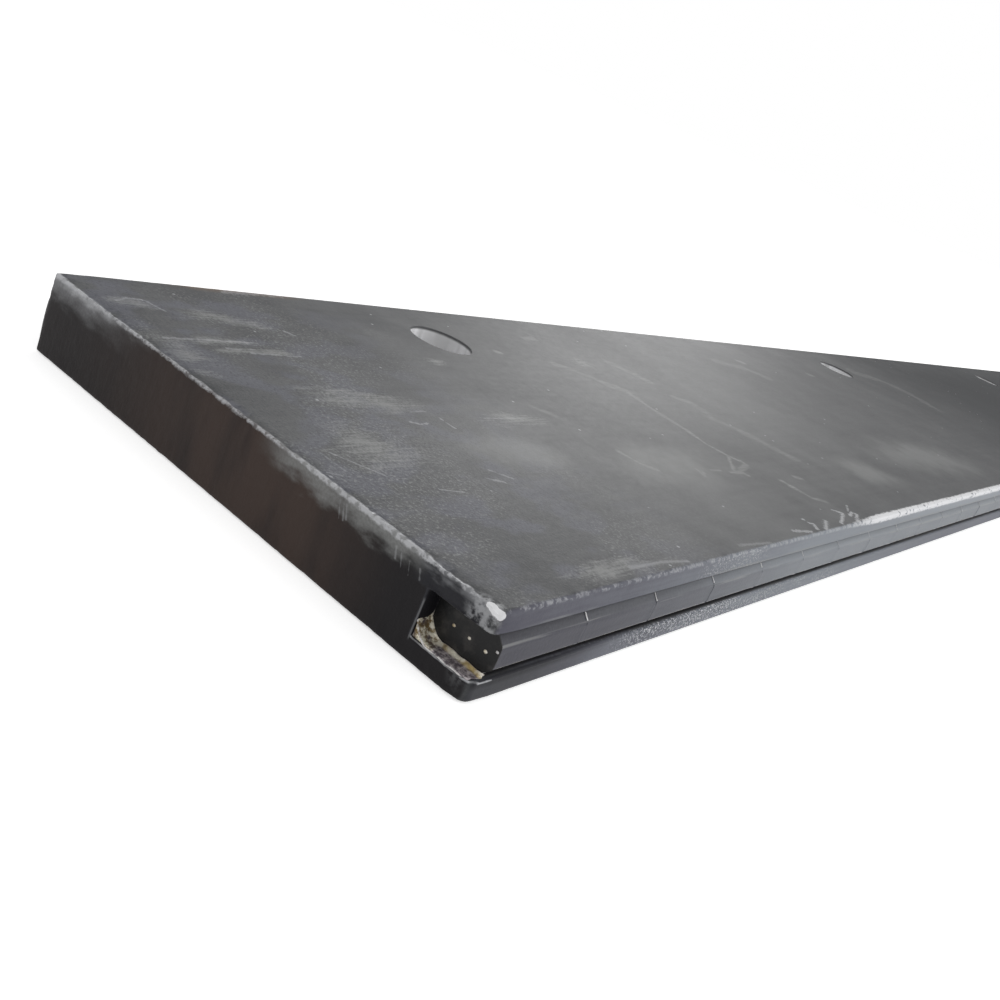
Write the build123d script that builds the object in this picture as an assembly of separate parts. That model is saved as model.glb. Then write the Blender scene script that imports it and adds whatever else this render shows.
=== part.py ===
"""Snowplow cutting edge: a slotted steel bar with a row of tungsten carbide inserts brazed in.

X runs along the bar, Y from the cutting edge to the back edge, and Z up from the lower broad face.
The origin is under the middle of the whole edge. All sizes are in millimetres.
"""
from build123d import *
import math
import os

# Steel bar
bar_length = 914.4
bar_width = 126.0
bar_thickness = 17.5
back_crown = 0.7
end_corner_radius = 2.0
upper_edge_radius = 0.8
lower_edge_radius = 1.6
back_edge_radius = 1.2

# Slot along the cutting edge, between a lower and an upper lip
lower_lip = 4.1
slot_height = 8.8
slot_depth = 13.8
lip_mouth_radius = 0.5

# Carbide inserts
insert_count = 36
end_setback = 3.8
nose_proud = 0.3
nose_chamfer = 2.1
nose_edge_radius = 0.5
joint_gap = 0.15

# Brazing metal between the inserts and the slot
braze_film = 0.2
web_recess = 0.35
pool_length = 3.2
pool_depth = 0.3
pool_fillet = 3.0
pool_front_gap = 1.4

# Bolt holes, countersunk from the lower face for flush bolt heads
hole_diameter = 17.46
hole_count = 3
hole_spacing = 304.8
first_hole_from_end = 101.6
hole_from_back = 21.0
bolt_head_diameter = 28.6
countersink_angle = 80.0

# Places worked out from the sizes above
whole_width = nose_proud + bar_width + back_crown
nose_y = -whole_width / 2
front_y = nose_y + nose_proud
back_y = front_y + bar_width
slot_back_y = front_y + slot_depth
slot_top = lower_lip + slot_height
near_end_x = -bar_length / 2
row_length = bar_length - 2 * end_setback
insert_pitch = (row_length + joint_gap) / insert_count
insert_length = insert_pitch - joint_gap
insert_low = lower_lip + braze_film
insert_high = slot_top - braze_film
insert_back_y = slot_back_y - braze_film
shoulder_y = nose_y + nose_chamfer
hole_y = back_y - hole_from_back


def section_run(section, length):
    """Extrude a Y-Z section along X, half to each side of its middle."""
    return extrude(section, amount=length / 2, both=True)


def bar_outline():
    """Section of the solid bar: flat faces, rolled edges and a slightly crowned back edge."""
    front_bottom = (front_y, 0)
    front_top = (front_y, bar_thickness)
    back_bottom = (back_y, 0)
    back_top = (back_y, bar_thickness)
    crown_point = (back_y + back_crown, bar_thickness / 2)
    edges = [
        Line(front_bottom, back_bottom),
        ThreePointArc(back_bottom, crown_point, back_top),
        Line(back_top, front_top),
        Line(front_top, front_bottom),
    ]
    section = make_face(Plane.YZ * Curve(edges))
    section = fillet(corners_at(section, front_y, 0), lower_edge_radius)
    section = fillet(corners_at(section, front_y, bar_thickness), upper_edge_radius)
    section = fillet(corners_at(section, back_y, 0), back_edge_radius)
    return fillet(corners_at(section, back_y, bar_thickness), back_edge_radius)


def corners_at(section, y, z):
    """The corner of a Y-Z section that lies at the given place."""
    place = Vector(0, y, z)
    return [v for v in section.vertices() if (Vector(*v) - place).length < 1e-4]


def slot_section():
    """Section of the slot: a square-bottomed groove whose mouth is slightly rounded outwards."""
    groove = Plane.YZ * Pos(front_y + slot_depth / 2, lower_lip + slot_height / 2) * Rectangle(
        slot_depth, slot_height
    )
    mouth_height = slot_height + 2 * lip_mouth_radius
    mouth = Plane.YZ * Pos(front_y, lower_lip + slot_height / 2) * Rectangle(
        2 * lip_mouth_radius, mouth_height
    )
    lip_roundings = [
        Plane.YZ * Pos(front_y + lip_mouth_radius, z) * Circle(lip_mouth_radius)
        for z in (lower_lip - lip_mouth_radius, slot_top + lip_mouth_radius)
    ]
    return groove + (mouth - lip_roundings)


def plan_outline():
    """Plan of the bar, with the corners at both ends of the cutting edge worn round."""
    depth = bar_width + back_crown
    plan = Pos(0, front_y + depth / 2) * Rectangle(bar_length, depth)
    front_corners = plan.vertices().group_by(Axis.Y)[0]
    return fillet(front_corners, end_corner_radius)


def hole_places():
    """Middles of the bolt holes on the lower face."""
    return [
        (near_end_x + first_hole_from_end + i * hole_spacing, hole_y, 0) for i in range(hole_count)
    ]


def bolt_hole(place):
    """One bolt hole through the bar, with its countersink in the lower face."""
    lower_face = Plane(origin=place, z_dir=(0, 0, -1))
    hole_radius = hole_diameter / 2
    head_radius = bolt_head_diameter / 2
    sink_depth = (head_radius - hole_radius) / math.tan(math.radians(countersink_angle / 2))
    shank = extrude(lower_face * Circle(hole_radius), amount=-bar_thickness)
    sink = lower_face * Pos(0, 0, -sink_depth / 2) * Cone(hole_radius, head_radius, sink_depth)
    return shank + sink


def make_blade_bar():
    """The steel bar, rolled and cut to length, slotted and drilled."""
    bar = section_run(bar_outline(), bar_length) & extrude(plan_outline(), amount=bar_thickness)
    bar -= section_run(slot_section(), bar_length)
    for place in hole_places():
        bar -= bolt_hole(place)
    return bar


def insert_section():
    """Section of an insert: a flat tablet with both corners of its nose chamfered."""
    outline = Polyline(
        (insert_back_y, insert_low),
        (shoulder_y, insert_low),
        (nose_y, insert_low + nose_chamfer),
        (nose_y, insert_high - nose_chamfer),
        (shoulder_y, insert_high),
        (insert_back_y, insert_high),
        close=True,
    )
    section = make_face(Plane.YZ * outline)
    section = fillet(corners_at(section, nose_y, insert_low + nose_chamfer), nose_edge_radius)
    return fillet(corners_at(section, nose_y, insert_high - nose_chamfer), nose_edge_radius)


def insert_x(index):
    """Middle of an insert along the bar, counted from the near end."""
    return near_end_x + end_setback + insert_length / 2 + index * insert_pitch


def make_inserts():
    """All the inserts, one behind the other in the slot."""
    tablet = section_run(insert_section(), insert_length)
    return [Pos(insert_x(i), 0, 0) * tablet for i in range(insert_count)]


def pool_section():
    """Section of the brazing metal in an end pocket: a thin layer and a hollow fillet behind."""
    layer_top = lower_lip + pool_depth
    fillet_front = (slot_back_y - pool_fillet, layer_top)
    fillet_top = (slot_back_y - braze_film, layer_top + pool_fillet - braze_film)
    front = front_y + pool_front_gap
    outline = [
        Line((front, lower_lip), (front, layer_top)),
        Line((front, layer_top), fillet_front),
        RadiusArc(fillet_front, fillet_top, -pool_fillet),
        Line(fillet_top, (slot_back_y, fillet_top[1])),
        Line((slot_back_y, fillet_top[1]), (slot_back_y, lower_lip)),
        Line((slot_back_y, lower_lip), (front, lower_lip)),
    ]
    return make_face(Plane.YZ * Curve(outline))


def make_braze_filler(inserts):
    """The brazing metal: a film round the inserts, a web in each joint and a pool at each end."""
    film_depth = slot_back_y - shoulder_y
    film = Plane.YZ * Pos(shoulder_y + film_depth / 2, lower_lip + slot_height / 2) * Rectangle(
        film_depth, slot_height
    )
    web = insert_section() & Pos(0, web_recess, 0) * insert_section()
    filler = section_run(film, row_length) + section_run(web, row_length)
    filler -= inserts
    pool = section_run(pool_section(), pool_length)
    pool_x = row_length / 2 + pool_length / 2
    return filler + Pos(-pool_x, 0, 0) * pool + Pos(pool_x, 0, 0) * pool


def export_all():
    """Write each piece to its own file."""
    os.makedirs("parts", exist_ok=True)
    inserts = make_inserts()
    export_step(make_blade_bar(), "parts/blade_bar.step")
    export_step(make_braze_filler(inserts), "parts/braze_filler.step")
    for number, insert in enumerate(inserts, start=1):
        export_step(insert, f"parts/insert_{number:02d}.step")


export_all()
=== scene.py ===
"""Looks of a worn snowplow cutting edge: black bar, carbide inserts and braze, in a plain studio.

Places on the bar are given in millimetres as (along, across, up): along from the near end, across
from the nose of the inserts towards the back edge, and up from the lower broad face.
"""
import math
import random

import bmesh
import bpy
from mathutils import Matrix, Vector


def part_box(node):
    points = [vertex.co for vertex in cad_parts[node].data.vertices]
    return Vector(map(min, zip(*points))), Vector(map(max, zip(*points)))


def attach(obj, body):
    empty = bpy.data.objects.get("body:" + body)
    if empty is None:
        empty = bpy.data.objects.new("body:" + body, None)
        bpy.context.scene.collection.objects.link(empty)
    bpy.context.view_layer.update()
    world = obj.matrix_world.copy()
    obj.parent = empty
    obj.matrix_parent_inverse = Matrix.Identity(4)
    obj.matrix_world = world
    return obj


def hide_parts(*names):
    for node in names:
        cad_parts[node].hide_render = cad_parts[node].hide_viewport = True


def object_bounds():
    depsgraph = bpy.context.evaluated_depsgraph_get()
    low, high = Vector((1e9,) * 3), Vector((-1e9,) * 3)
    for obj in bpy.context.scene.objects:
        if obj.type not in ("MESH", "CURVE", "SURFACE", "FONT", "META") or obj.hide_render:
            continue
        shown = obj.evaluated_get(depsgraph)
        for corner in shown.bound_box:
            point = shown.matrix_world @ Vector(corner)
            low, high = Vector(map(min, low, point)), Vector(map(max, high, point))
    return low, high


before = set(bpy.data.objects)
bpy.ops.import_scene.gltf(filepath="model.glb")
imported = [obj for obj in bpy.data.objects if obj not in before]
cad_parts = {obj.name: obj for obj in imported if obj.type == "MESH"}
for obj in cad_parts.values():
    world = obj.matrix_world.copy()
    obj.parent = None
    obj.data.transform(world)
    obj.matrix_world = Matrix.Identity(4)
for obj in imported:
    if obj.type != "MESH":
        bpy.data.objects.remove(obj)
cad_low, cad_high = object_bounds()
mesh = bpy.ops.mesh

MM = 0.001
LENGTH = (cad_high.x - cad_low.x) / MM
WIDTH = (cad_high.y - cad_low.y) / MM
THICKNESS = (cad_high.z - cad_low.z) / MM

# Bar, in millimetres
BAR_FRONT = (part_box("blade_bar")[0].y - cad_low.y) / MM
BACK_CROWN = 0.7
BACK_CORNER = WIDTH - BACK_CROWN
SLOT_LOW = 4.1
SLOT_TOP = 12.9
SLOT_DEPTH = 13.8
SLOT_BACK = BAR_FRONT + SLOT_DEPTH
END_CORNER_RADIUS = 2.0
UPPER_FRONT_RADIUS = 0.8
LOWER_FRONT_RADIUS = 0.9
BACK_EDGE_RADIUS = 0.6
END_EDGE_RADIUS = 0.4
LIP_MOUTH_RADIUS = 0.5
END_ZONE = 7.0
END_CELL = 0.9

# Wear of the bar: depths, and how far from the edge or corner each kind reaches
WAVE_DEPTH = 0.2
SAW_MARK_DEPTH = 0.14
LUMP_DEPTH = 0.14
NICK_DEPTH = 0.2
EDGE_REACH = 3.0
KNOB_DEPTH = 0.4
LIP_END_REACH = 3.0
ROLL_OVER_DEPTH = 0.3
ROLL_OVER_REACH = 2.4
CORNER_PUSH = 0.28
CORNER_REACH = 6.5

# The flat worn on the near upper corner: where it starts on the end's upper edge, and its slant
FACET_PLACE = Vector((0.0, 4.8, THICKNESS - 0.1))
FACET_NORMAL = Vector((-0.62, -0.36, 0.75)).normalized()

# Bolt holes
HOLE_RADIUS = 8.73
HOLE_FROM_BACK = 21.0
HOLE_ACROSS = BACK_CORNER - HOLE_FROM_BACK
FIRST_HOLE = 101.6
HOLE_SPACING = 304.8
HOLE_COUNT = 3
HEAD_RADIUS = 14.3
SINK_ANGLE = 80.0
SINK_SLOPE = math.tan(math.radians(SINK_ANGLE / 2))
MOUTH_WEAR = 0.2

# Inserts
INSERT_COUNT = 36
INSERT_LOW, INSERT_HIGH = (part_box("insert_01")[i].z / MM for i in (0, 1))
INSERT_BACK = (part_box("insert_01")[1].y - cad_low.y) / MM
FIRST_INSERT, FIRST_JOINT = ((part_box("insert_01")[i].x - cad_low.x) / MM for i in (0, 1))
SECOND_INSERT = (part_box("insert_02")[0].x - cad_low.x) / MM
INSERT_LENGTH = FIRST_JOINT - FIRST_INSERT
INSERT_PITCH = SECOND_INSERT - FIRST_INSERT
NOSE_CHAMFER = 2.1
NOSE_ROUNDING = 0.5
INSERT_ROUNDING = 0.2
JOINT_ROUNDING = 0.03
JOINT_OVERLAP = 0.13

# Braze spilled over the lower lip's ends: its start, its round front corner and its rise behind
SPILL_FRONT = 1.1
SPILL_GAP = 0.12
SPILL_ROUNDING = 2.8
SPILL_CORNER = 3.4
SPILL_CLIMB = 3.2
SPILL_THICKNESS = 0.3

chance = random.Random(7)


def at(along, across, up):
    """A place on the edge in the frame's metres."""
    return Vector((along, across, up)) * MM + cad_low


def where(point):
    """The opposite of at: (along, across, up) in millimetres."""
    return (point - cad_low) / MM


# Modelling helpers


def begin():
    """Nothing is selected, so that operators touch only the piece that is added next."""
    if bpy.context.mode != "OBJECT":
        bpy.ops.object.mode_set(mode="OBJECT")
    bpy.ops.object.select_all(action="DESELECT")


def hold(piece):
    """Select only this piece and make it the active one."""
    begin()
    piece.select_set(True)
    bpy.context.view_layer.objects.active = piece


def copy_of(piece):
    """A second piece with its own mesh, in the same place."""
    hold(piece)
    bpy.ops.object.duplicate(linked=False)
    return bpy.context.object


def settle(name):
    """Name the new piece and keep its place in its mesh."""
    piece = bpy.context.object
    piece.name = name
    piece.data.name = name
    bpy.ops.object.transform_apply(location=True, rotation=True, scale=True)
    return piece


def open_up(piece):
    """Go into edit mode on one piece."""
    hold(piece)
    bpy.ops.object.mode_set(mode="EDIT")


def close_up():
    """Back to object mode."""
    bpy.ops.object.mode_set(mode="OBJECT")


def choose(piece, kind, rule):
    """In edit mode, select only the faces, edges or corners that the rule takes.

    The rule gets the list of the part's corners as (along, across, up).
    """
    mesh.select_mode(type=kind)
    mesh.select_all(action="DESELECT")
    shape = bmesh.from_edit_mesh(piece.data)
    parts = {"FACE": shape.faces, "EDGE": shape.edges, "VERT": shape.verts}[kind]
    for part in parts:
        corners = [part] if kind == "VERT" else part.verts
        if rule([where(corner.co) for corner in corners]):
            part.select_set(True)
    bmesh.update_edit_mesh(piece.data)


def choose_all():
    """In edit mode, select everything."""
    mesh.select_all(action="SELECT")


def face_outwards():
    """In edit mode, turn all the faces outwards."""
    choose_all()
    mesh.normals_make_consistent(inside=False)


def everything(corners):
    """A rule that takes all."""
    return True


def cut(piece, axis, places, rule=everything):
    """In edit mode, cut the chosen faces square to an axis at each place."""
    direction = Vector((0, 0, 0))
    direction[axis] = 1
    for place in places:
        choose(piece, "FACE", rule)
        mesh.bisect(plane_co=at(place, place, place), plane_no=direction)


def slide(piece, rule, across=0.0, up=0.0):
    """In edit mode, move the chosen corners, by millimetres."""
    choose(piece, "VERT", rule)
    bpy.ops.transform.translate(value=(0, across * MM, up * MM))


def resize(piece, rule, factors, middle):
    """In edit mode, resize the chosen corners about a place."""
    choose(piece, "VERT", rule)
    bpy.ops.transform.resize(value=factors, center_override=middle)


def finish_with(piece, kind, **settings):
    """Add a modifier with these settings and apply it."""
    hold(piece)
    modifier = piece.modifiers.new(kind.lower(), kind)
    for name, value in settings.items():
        setattr(modifier, name, value)
    bpy.ops.object.modifier_apply(modifier=modifier.name)


def round_edges(piece, radius_for, steps):
    """Round each sharp edge by the radius in millimetres that the rule gives for its corners."""
    shape = bmesh.new()
    shape.from_mesh(piece.data)
    weights = shape.edges.layers.float.new("bevel_weight_edge")
    radii = [radius_for([where(corner.co) for corner in edge.verts]) for edge in shape.edges]
    largest = max(radii)
    for edge, radius in zip(shape.edges, radii):
        sharp = len(edge.link_faces) == 2 and edge.calc_face_angle() > math.radians(30)
        edge[weights] = radius / largest if sharp else 0
    shape.to_mesh(piece.data)
    shape.free()
    settings = {"limit_method": "WEIGHT", "use_clamp_overlap": False}
    finish_with(piece, "BEVEL", width=largest * MM, segments=steps, **settings)


def weigh(piece, name, weight_for):
    """Make a vertex group whose weights come from each corner's place."""
    group = piece.vertex_groups.new(name=name)
    for corner in piece.data.vertices:
        weight = weight_for(where(corner.co))
        if weight > 0:
            group.add([corner.index], min(weight, 1), "REPLACE")
    return group.name


def pattern(name, grain, **settings):
    """A solid cloudy pattern for dents and nicks; grain is its size in millimetres."""
    texture = bpy.data.textures.new(name, "CLOUDS")
    texture.noise_scale = grain * MM
    texture.use_clamp = True
    for setting, value in settings.items():
        setattr(texture, setting, value)
    return texture


def displace(piece, group, distance, **settings):
    """Slide the weighed corners by the distance in millimetres at full weight."""
    strength = distance * MM
    finish_with(piece, "DISPLACE", vertex_group=group, mid_level=0, strength=strength, **settings)


def wear_down(piece, group, texture, depth):
    """Push the surface inwards by up to the depth in millimetres, where the pattern is bright."""
    displace(piece, group, -depth, texture=texture, texture_coords="LOCAL")


def smooth(piece, angle=35):
    """Smooth shading, apart from edges sharper than the angle."""
    hold(piece)
    bpy.ops.object.shade_smooth_by_angle(angle=math.radians(angle))


def steps_from(edge, first, growth, widest, reach):
    """Places that start close together at an edge and grow apart until they reach a distance."""
    places = []
    gone, step = 0, first
    while gone + step < reach:
        gone += step
        places.append(edge + gone)
        step = min(step * growth, widest)
    return places


def near(value, target):
    return abs(value - target) < 0.01


# Bar


def bar_section():
    """The C-shaped section at the near end: a plane without the slot."""
    begin()
    mesh.primitive_plane_add(
        size=1,
        location=at(0, (BAR_FRONT + BACK_CORNER) / 2, THICKNESS / 2),
        rotation=(0, -math.pi / 2, 0),
    )
    bpy.context.object.scale = (THICKNESS * MM, (BACK_CORNER - BAR_FRONT) * MM, 1)
    bar = settle("worn_bar")
    open_up(bar)
    cut(bar, 2, (SLOT_LOW, SLOT_TOP))
    cut(bar, 1, (SLOT_BACK,))

    def in_slot(corners):
        low, high = SLOT_LOW - 0.01, SLOT_TOP + 0.01
        return all(c.y < SLOT_BACK + 0.01 and low < c.z < high for c in corners)

    choose(bar, "FACE", in_slot)
    mesh.delete(type="FACE")
    return bar


def at_end(corner):
    return near(corner.x, 0) or near(corner.x, LENGTH)


def is_upright_front_corner(corners):
    """The short upright edges at both ends of the two lips."""
    one, other = corners
    in_front = near(one.y, BAR_FRONT) and near(other.y, BAR_FRONT)
    return at_end(one) and in_front and near(one.x, other.x)


def outline_radius(corners):
    """How round each edge of the bar is worn."""
    on_end = all(at_end(c) for c in corners)
    on_face = all(near(c.z, 0) or near(c.z, THICKNESS) for c in corners)
    if all(near(c.y, BACK_CORNER) for c in corners):
        return BACK_EDGE_RADIUS
    if all(c.y < SLOT_BACK - 1 and (near(c.z, SLOT_LOW) or near(c.z, SLOT_TOP)) for c in corners):
        return LIP_MOUTH_RADIUS
    if on_face and all(c.y < BAR_FRONT + END_CORNER_RADIUS + 0.01 for c in corners):
        return LOWER_FRONT_RADIUS if corners[0].z < THICKNESS / 2 else UPPER_FRONT_RADIUS
    if on_end and on_face:
        return END_EDGE_RADIUS
    if on_end and all(near(c.z, SLOT_TOP) for c in corners):
        return LIP_MOUTH_RADIUS
    if on_end:
        return LIP_MOUTH_RADIUS * 0.7
    return 0.0


def crown_back(bar, rows):
    """Bow the back edge out a little, as it came from the mill."""
    for row in rows:
        height = (row / THICKNESS - 0.5) * 2
        bulge = BACK_CROWN * (1 - height * height)
        slide(bar, lambda c: near(c[0].z, row) and near(c[0].y, BACK_CORNER), across=bulge)


def divide_along(bar, start, stop, cell):
    """Divide the long strips between two stations into cells of about one length."""
    cuts = max(1, round((stop - start) / cell) - 1)
    span = (stop - start) - 0.02

    def is_long(corners):
        one, other = corners
        inside = min(one.x, other.x) > start - 0.01 and max(one.x, other.x) < stop + 0.01
        return inside and abs(one.x - other.x) > span

    choose(bar, "EDGE", is_long)
    mesh.subdivide(number_cuts=cuts)


def edge_gap(place):
    """How far a place on the bar's skin is from the nearest outer edge."""
    lows = place - Vector((0, BAR_FRONT, 0))
    highs = Vector((LENGTH, BACK_CORNER, THICKNESS)) - place
    return sorted(abs(gap) for gap in (*lows, *highs))[1]


def in_slot_mouth(place):
    """The slot's walls and the roundings of its mouth."""
    inside = BAR_FRONT + 0.05 < place.y < SLOT_BACK + 1
    return inside and SLOT_LOW - 0.6 < place.z < SLOT_TOP + 0.6


def worn_edge_weight(place):
    """Full wear on the near end's and the front's upper edges, and less on the others."""
    if in_slot_mouth(place):
        return 0.0
    share = 1.0 if place.z > THICKNESS / 2 else 0.15
    if place.y > WIDTH / 2 and place.x > END_ZONE:
        share = 0.15
    return share * max(0.0, 1 - edge_gap(place) / EDGE_REACH) ** 1.5


def lip_end_weight(place):
    """The lumpy end of the upper lip beside the near pocket."""
    if place.x > LIP_END_REACH or place.y > SLOT_BACK + 2 or place.z < SLOT_TOP + 0.3:
        return 0.0
    return 1 - place.x / LIP_END_REACH


def rolled_over_weight(place):
    """The near end's upper edge, beaten over towards the back, but not at the very corner."""
    gap = max(place.x, THICKNESS - place.z)
    if place.z < THICKNESS / 2 or gap > ROLL_OVER_REACH:
        return 0.0
    share = min((place.y - 86) / 12, (WIDTH - 1.5 - place.y) / 6)
    return max(0.0, min(1.0, share)) * (1 - gap / ROLL_OVER_REACH)


def beaten_corner_weight(place):
    """The near corners of both lips, beaten round."""
    gap = math.hypot(place.x, place.y - BAR_FRONT)
    return max(0.0, 1 - gap / CORNER_REACH)


def end_face_weight(place):
    """The two sawn ends, without the slot's walls."""
    gap = min(place.x, LENGTH - place.x)
    return 1.0 if gap < 0.5 else 0.0


def broad_face_weight(place):
    """The rolled faces and the lips' fronts, away from the edges."""
    if in_slot_mouth(place) or min(place.x, LENGTH - place.x) < 0.5:
        return 0.0
    return min(1.0, edge_gap(place) / 2.0)


def cut_facet(bar):
    """Cut the small slanting flat on the near upper corner."""
    open_up(bar)
    choose_all()
    settings = {"use_fill": True, "clear_outer": True, "threshold": 0.001 * MM}
    mesh.bisect(plane_co=at(*FACET_PLACE), plane_no=FACET_NORMAL, **settings)
    close_up()


def hole_cutter(number):
    """A plug in the shape of one bolt hole: shank, countersink below and a worn mouth above."""
    along = FIRST_HOLE + number * HOLE_SPACING
    spare = 1.0
    begin()
    mesh.primitive_cylinder_add(
        vertices=96,
        radius=HOLE_RADIUS * MM,
        depth=(THICKNESS + 2 * spare) * MM,
        location=at(along, HOLE_ACROSS, THICKNESS / 2),
    )
    cutter = settle("hole_cutter")
    sink_depth = (HEAD_RADIUS - HOLE_RADIUS) / SINK_SLOPE
    rows = {
        -spare: HEAD_RADIUS + spare * SINK_SLOPE,
        0.0: HEAD_RADIUS,
        0.4: HEAD_RADIUS - 0.4 * SINK_SLOPE,
        THICKNESS - MOUTH_WEAR: HOLE_RADIUS,
        THICKNESS - MOUTH_WEAR / 2: HOLE_RADIUS + MOUTH_WEAR * 0.22,
        THICKNESS: HOLE_RADIUS + MOUTH_WEAR,
        THICKNESS + spare: HOLE_RADIUS + MOUTH_WEAR + spare,
    }
    open_up(cutter)
    cut(cutter, 2, [row for row in rows if 0 <= row <= THICKNESS] + [sink_depth])
    for row, radius in rows.items():
        factor = radius / HOLE_RADIUS
        middle = at(along, HOLE_ACROSS, row)
        resize(cutter, lambda c: near(c[0].z, row), (factor, factor, 1), middle)
    close_up()
    return cutter


def make_bar(paint, bored):
    """The slotted, drilled and worn steel bar."""
    bar = bar_section()
    choose_all()
    mesh.extrude_region_move(TRANSFORM_OT_translate={"value": (LENGTH * MM, 0, 0)})
    choose_all()
    mesh.dissolve_limited(angle_limit=0.02)
    choose(bar, "EDGE", is_upright_front_corner)
    mesh.bevel(offset=END_CORNER_RADIUS * MM, segments=6, affect="EDGES")
    face_outwards()
    close_up()
    round_edges(bar, outline_radius, 3)

    rows = [1.9, 3.2, 6.0, 8.75, 11.5, 13.8, 15.2, 16.4]
    open_up(bar)
    cut(bar, 2, rows)
    crown_back(bar, rows)
    cut(bar, 1, steps_from(BAR_FRONT, 1.0, 1.28, 11.0, 70))
    cut(bar, 1, [BACK_CORNER - gap for gap in steps_from(0, 1.6, 1.45, 11.0, 50)])
    cut(bar, 0, (END_ZONE, END_ZONE + 1.5, LENGTH - END_ZONE - 1.5, LENGTH - END_ZONE))

    def in_end_zone(corners):
        return all(min(c.x, LENGTH - c.x) < END_ZONE + 0.01 for c in corners)

    cells_across = int((BACK_CORNER - BAR_FRONT) / END_CELL)
    for number in range(2, cells_across - 1):
        cut(bar, 1, (BAR_FRONT + number * END_CELL,), in_end_zone)
    cut(bar, 2, steps_from(1.3, END_CELL, 1, END_CELL, THICKNESS - 2), in_end_zone)
    cut(bar, 0, steps_from(END_CORNER_RADIUS, END_CELL, 1, END_CELL, END_ZONE - 2), in_end_zone)
    stations = (END_ZONE + 1.5, 66.0, 126.0, 250.0, 400.0, 560.0, 740.0, LENGTH - END_ZONE - 1.5)
    cells = (0.9, 0.9, 1.4, 2.0, 2.4, 2.6, 2.6)
    cut(bar, 0, stations[1:-1])
    for start, stop, cell in zip(stations, stations[1:], cells):
        divide_along(bar, start, stop, cell)
    close_up()

    lumps = pattern("edge_lumps", 6.0, noise_depth=2)
    nicks = pattern("edge_nicks", 2.2, noise_depth=1, contrast=4.5, intensity=0.25)
    knobs = pattern("lip_knobs", 1.8, noise_depth=1, contrast=1.6)
    waves = pattern("mill_waves", 38, noise_depth=1)
    saw_marks = pattern("saw_marks", 1.1, noise_depth=2)
    edges = weigh(bar, "edges", worn_edge_weight)
    faces = weigh(bar, "faces", broad_face_weight)
    ends = weigh(bar, "ends", end_face_weight)
    lip_end = weigh(bar, "lip_end", lip_end_weight)
    rolled_over = weigh(bar, "rolled_over", rolled_over_weight)
    beaten_corner = weigh(bar, "beaten_corner", beaten_corner_weight)
    wear_down(bar, faces, waves, WAVE_DEPTH)
    wear_down(bar, ends, saw_marks, SAW_MARK_DEPTH)
    wear_down(bar, edges, lumps, LUMP_DEPTH)
    wear_down(bar, edges, nicks, NICK_DEPTH)
    wear_down(bar, lip_end, knobs, KNOB_DEPTH)
    wear_down(bar, rolled_over, None, ROLL_OVER_DEPTH)
    for direction in ("X", "Y"):
        displace(bar, beaten_corner, CORNER_PUSH, direction=direction)
    bar.data.materials.append(paint)
    for number in range(HOLE_COUNT):
        cutter = hole_cutter(number)
        cutter.data.materials.append(bored)
        finish_with(bar, "BOOLEAN", object=cutter, solver="EXACT", material_mode="TRANSFER")
        bpy.data.objects.remove(cutter)
    cut_facet(bar)
    smooth(bar)
    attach(bar, "root")
    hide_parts("blade_bar")
    return bar


# Inserts


def make_insert_blank():
    """One carbide tablet with a chamfered nose and slightly rounded edges."""
    height = INSERT_HIGH - INSERT_LOW
    middle = at(FIRST_INSERT + INSERT_LENGTH / 2, INSERT_BACK / 2, (INSERT_LOW + INSERT_HIGH) / 2)
    begin()
    size = Vector((INSERT_LENGTH + JOINT_OVERLAP, INSERT_BACK, height)) * MM
    mesh.primitive_cube_add(size=1, location=middle, scale=size)
    blank = settle("carbide_blank")
    open_up(blank)
    choose(blank, "EDGE", lambda c: near(c[0].y, 0) and near(c[1].y, 0) and near(c[0].z, c[1].z))
    mesh.bevel(offset=NOSE_CHAMFER * MM, segments=1, affect="EDGES")
    close_up()

    def radius(corners):
        if near(corners[0].x, corners[1].x):
            return JOINT_ROUNDING
        if all(near(c.y, 0) for c in corners):
            return NOSE_ROUNDING
        return INSERT_ROUNDING

    round_edges(blank, radius, 3)
    open_up(blank)
    cell = (INSERT_LENGTH - 1.2) / 12
    cut(blank, 0, [FIRST_INSERT + 0.6 + number * cell for number in range(13)])
    cut(blank, 1, (0.9, 1.6, 2.6, 4.0, 7.0, 10.0))
    cut(blank, 2, [INSERT_LOW + height for height in (1.0, 2.8, 4.2, 5.6, 7.4)])
    close_up()
    return blank


def make_inserts(carbide):
    """All the inserts, each copied from the blank, set a hair apart in height and depth."""
    blank = make_insert_blank()
    blank.data.materials.append(carbide)
    for number in range(INSERT_COUNT):
        insert = copy_of(blank)
        offset = (number * INSERT_PITCH, chance.uniform(0.0, 0.12), chance.uniform(-0.05, 0.05))
        insert.location = Vector(offset) * MM
        insert = settle(f"carbide_insert_{number + 1:02d}")
        middle = FIRST_INSERT + INSERT_LENGTH / 2 + number * INSERT_PITCH

        def away_from_joints(place):
            return 1.0 if abs(place.x - middle) < INSERT_LENGTH / 2 - 0.3 else 0.0

        skin = weigh(insert, "skin", away_from_joints)
        wear_down(insert, skin, pattern("sinter_dents", 3.5), 0.12)
        smooth(insert, 25)
        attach(insert, "root")
        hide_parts(f"insert_{number + 1:02d}")
    bpy.data.objects.remove(blank)


# Braze


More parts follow.
